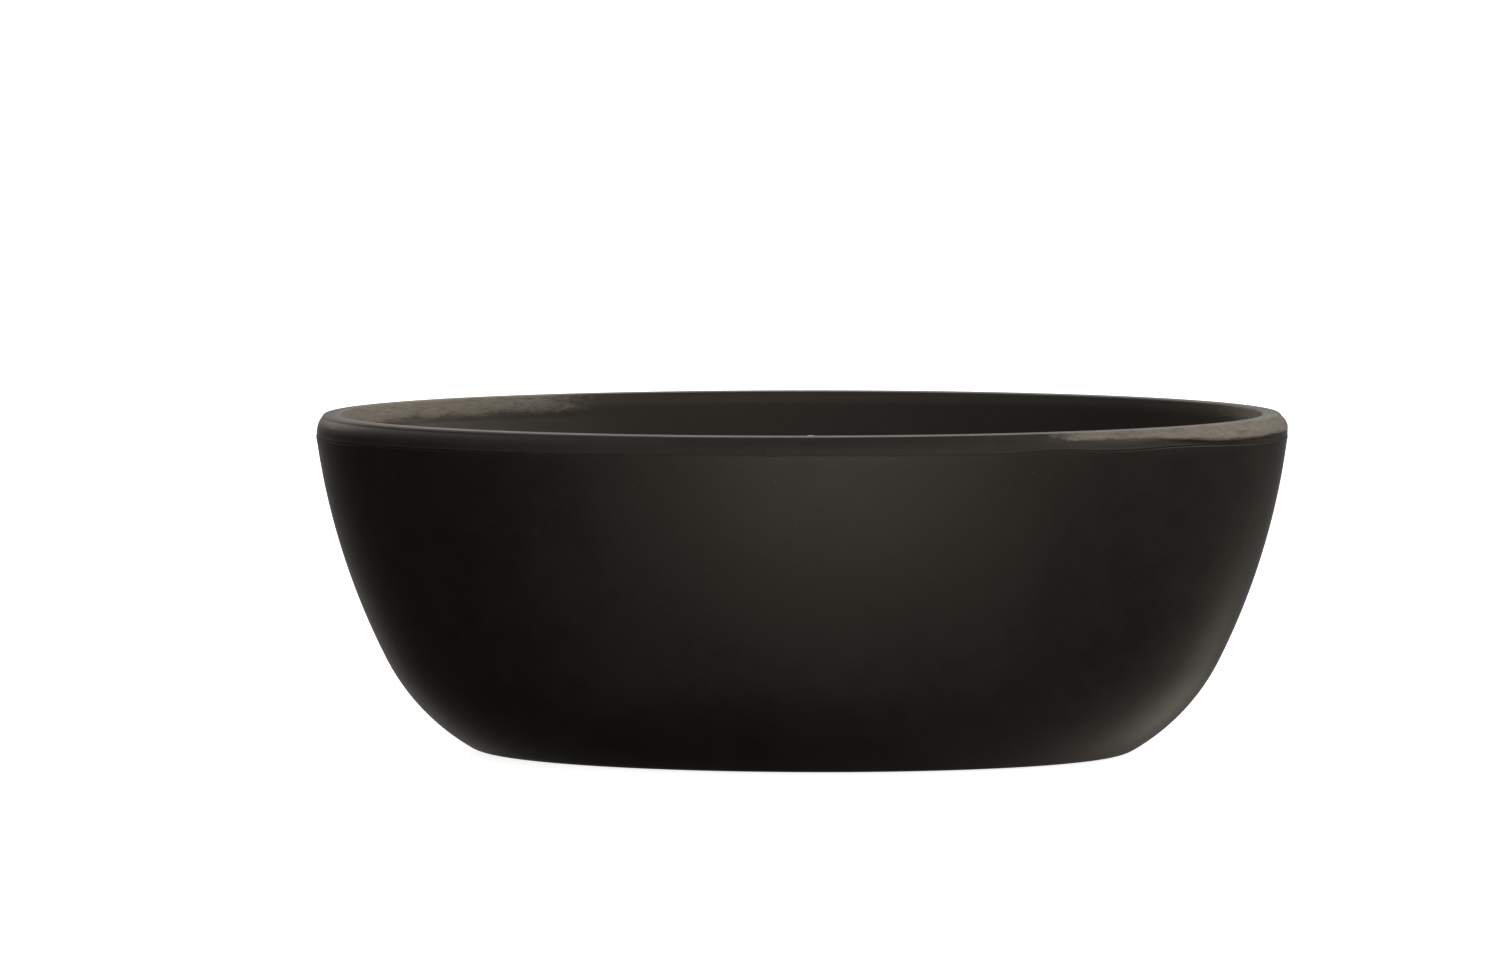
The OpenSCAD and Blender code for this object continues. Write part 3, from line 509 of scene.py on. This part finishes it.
cutter = tube_mesh("overflow_cutter", 20 * MM, 60 * MM, over_c - over_axis * 8 * MM, over_axis)
boolean = basin.modifiers.new("overflow_hole", "BOOLEAN")
boolean.operation = "DIFFERENCE"
boolean.solver = "EXACT"
boolean.object = cutter
graph = bpy.context.evaluated_depsgraph_get()
cut = bpy.data.meshes.new_from_object(basin.evaluated_get(graph))
basin.modifiers.clear()
basin.data = cut
bpy.data.objects.remove(cutter)
cut.shade_smooth()
cut.set_sharp_from_angle(angle=SHARP)



def wear_and_painted_light(co):
    """Where the rim was dressed by hand and scuffed, with a painted highlight on the scuffs, and where the inner
    wall is painted paler as if lit, 0 to 1 for each point.
    """
    x, y, z = co.T
    around = np.arctan2(y / HALF_W, x / HALF_L)
    reach = np.hypot(x / HALF_L, y / HALF_W)
    seam_here = SEAM_Z + SEAM_RISE * np.sin(around) ** 2
    inside = 1 - step(reach, 0.955, 0.962)

    # the outer bevel, most of all its upper facet towards +X; the scuffs there carry a painted highlight
    on_bevel = step(z, seam_here - 0.2 * MM, seam_here + 0.8 * MM) * step(reach, 0.955, 0.965)
    bevel_share = (z - seam_here) / (RIM_Z - seam_here)
    facet_line = 0.50 - 0.32 * step(x, 0.60, 0.74)
    upper = 0.2 + 0.8 * step(bevel_share, facet_line, facet_line + 0.24)
    bevel_right = step(x, 0.40, 0.50) * (0.45 + 0.55 * step(-y, -0.1, 0.1)) * upper
    bevel_left = 0.25 * step(-x, 0.62, 0.84)

    # the inner edge, with a ragged lower border; the scuffs there carry a painted highlight
    ragged = MM * (2 * np.sin(19 * around + 1) + 1.5 * np.sin(43 * around))
    inner_edge = step(z, INNER_TOP_Z - 24 * MM + ragged, INNER_TOP_Z - 5 * MM + ragged) * inside
    edge_left = step(-x, 0.30, 0.54) * step(y, -0.25, 0.05)
    edge_right = 0.5 * step(x, 0.62, 0.80)

    worn_and_painted_highlight = on_bevel * (bevel_right + bevel_left) + inner_edge * (edge_left + edge_right)
    # painted light: the upper inner wall is paler at the left and right where light falls on it
    painted_light_on_wall = 0.62 * step(-x, 0.22, 0.64) + 0.10 * step(x, 0.0, 0.4) + 0.45 * step(x, 0.56, 0.78)
    return {"worn_and_painted_highlight": worn_and_painted_highlight, "pale": inside * step(z, 0.38, 0.56) * painted_light_on_wall}


co = np.zeros(len(cut.vertices) * 3)
cut.vertices.foreach_get("co", co)
for key, value in wear_and_painted_light(co.reshape(-1, 3)).items():
    share = np.clip(value, 0, 1).astype(np.float32)
    cut.attributes.new(key, "FLOAT", "POINT").data.foreach_set("value", share)
paint(basin, MAT["black_stone_rim"])
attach(basin, "tub")
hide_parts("basin")

# ------------------------------------------------------------------ floor, light, camera
floor_mesh = bpy.data.meshes.new("floor")
floor_mesh.from_pydata([(-300, -300, 0), (300, -300, 0), (300, 300, 0), (-300, 300, 0)], [], [(0, 1, 2, 3)])
floor = bpy.data.objects.new("floor", floor_mesh)
bpy.context.scene.collection.objects.link(floor)
floor_mat = bpy.data.materials.new("floor")
floor_mat.use_nodes = True
n = Nodes(floor_mat.node_tree)
pale = n.add("ShaderNodeBsdfPrincipled", {"Base Color": (0.8, 0.8, 0.8, 1), "Roughness": 0.9,
                                          "Emission Color": (1, 1, 1, 1), "Emission Strength": 0.86})
clear = n.add("ShaderNodeBsdfTransparent")
both = n.add("ShaderNodeMixShader", {0: n.add("ShaderNodeNewGeometry").outputs["Backfacing"],
                                     1: pale.outputs["BSDF"], 2: clear.outputs["BSDF"]})
n.add("ShaderNodeOutputMaterial", {"Surface": both.outputs["Shader"]})
floor_mesh.materials.append(floor_mat)
floor.visible_diffuse = False
floor.visible_glossy = False
floor.visible_shadow = False

# soft studio light: pale sources in the surround, by azimuth from -Y towards +X, elevation, spread
SOFT_LIGHTS = {
    "front_low": (3, -10, 13, 2.9, (1.0, 0.94, 0.86)),
    "front_high": (4, 26, 11, 1.9, (1.0, 0.95, 0.87)),
    "front_right": (38, 6, 14, 0.25, (1.0, 0.95, 0.88)),
    "front_right_low": (55, -58, 16, 0.13, (1.0, 0.95, 0.88)),
    "right_window": (70, 27, 13, 6.0, (1.0, 0.94, 0.86)),
    "right_high": (97, 46, 16, 3.2, (1.0, 0.95, 0.88)),
    "right_edge": (113, 14, 14, 0.9, (1.0, 0.90, 0.80)),
    "right_low": (128, -42, 12, 2.4, (1.0, 0.92, 0.82)),
    "back": (180, 7, 24, 1.05, (0.97, 1.0, 1.0)),
    "back_left_low": (218, -30, 14, 0.5, (1.0, 0.90, 0.80)),
    "back_left": (232, 30, 14, 3.0, (1.0, 0.89, 0.78)),
    "left_high": (262, 62, 18, 1.8, (1.0, 0.95, 0.90)),
    "front_left": (318, 27, 18, 0.38, (1.0, 0.96, 0.92)),
    "top": (0, 88, 30, 0.08, (0.97, 0.99, 1.0)),
}
AMBIENT = (0.030, 0.0295, 0.028, 1)
world = bpy.data.worlds.new("studio")
bpy.context.scene.world = world
world.use_nodes = True
n = Nodes(world.node_tree)
ray = n.add("ShaderNodeTexCoord").outputs["Generated"]
total = n.add("ShaderNodeRGB").outputs[0]
total.default_value = AMBIENT
for azimuth, elevation, spread, strength, tint in SOFT_LIGHTS.values():
    a, e = math.radians(azimuth), math.radians(elevation)
    toward = (math.sin(a) * math.cos(e), -math.cos(a) * math.cos(e), math.sin(e))
    dot = n.add("ShaderNodeVectorMath", {0: ray, 1: toward}, operation="DOT_PRODUCT").outputs["Value"]
    sharp = math.log(2) / (1 - math.cos(math.radians(spread)))
    glow = n.math("EXPONENT", n.math("MULTIPLY", n.math("SUBTRACT", dot, 1.0), sharp))
    colour = tuple(strength * c for c in tint)
    source = n.add("ShaderNodeVectorMath", {0: colour, "Scale": glow}, operation="SCALE").outputs["Vector"]
    total = n.add("ShaderNodeVectorMath", {0: total, 1: source}, operation="ADD").outputs["Vector"]
lit = n.add("ShaderNodeBackground", {"Color": total, "Strength": 1.0})
seen = n.add("ShaderNodeBackground", {"Color": (1, 1, 1, 1), "Strength": 1.0})
either = n.add("ShaderNodeMixShader", {0: n.add("ShaderNodeLightPath").outputs["Is Camera Ray"],
                                       1: lit.outputs[0], 2: seen.outputs[0]})
n.add("ShaderNodeOutputWorld", {"Surface": either.outputs[0]})

# camera: turn, tilt and roll in radians, then distance, side shift and height in metres
AZ, PITCH, ROLL = 0.0755, 0.1223, -0.0076
CAM_DIST, CAM_SIDE, CAM_Z = 8.0, -0.080, 1.4617
SENSOR, LENS = 36, 109.959
right = Vector((math.cos(AZ), math.sin(AZ), 0))
level = Vector((-math.sin(AZ), math.cos(AZ), 0))
ahead = level * math.cos(PITCH) - Vector((0, 0, math.sin(PITCH)))
above = level * math.sin(PITCH) + Vector((0, 0, math.cos(PITCH)))
cam_x = right * math.cos(ROLL) + above * math.sin(ROLL)
cam_y = above * math.cos(ROLL) - right * math.sin(ROLL)
place = right * CAM_SIDE - level * CAM_DIST + Vector((0, 0, CAM_Z))
camera = bpy.data.objects.new("camera", bpy.data.cameras.new("camera"))
bpy.context.scene.collection.objects.link(camera)
camera.matrix_world = Matrix((
    (cam_x.x, cam_y.x, -ahead.x, place.x),
    (cam_x.y, cam_y.y, -ahead.y, place.y),
    (cam_x.z, cam_y.z, -ahead.z, place.z),
    (0, 0, 0, 1)))
camera.data.sensor_width = SENSOR
camera.data.lens = LENS
camera.data.clip_end = 600
bpy.context.scene.camera = camera
bpy.context.scene.view_settings.view_transform = "Standard"
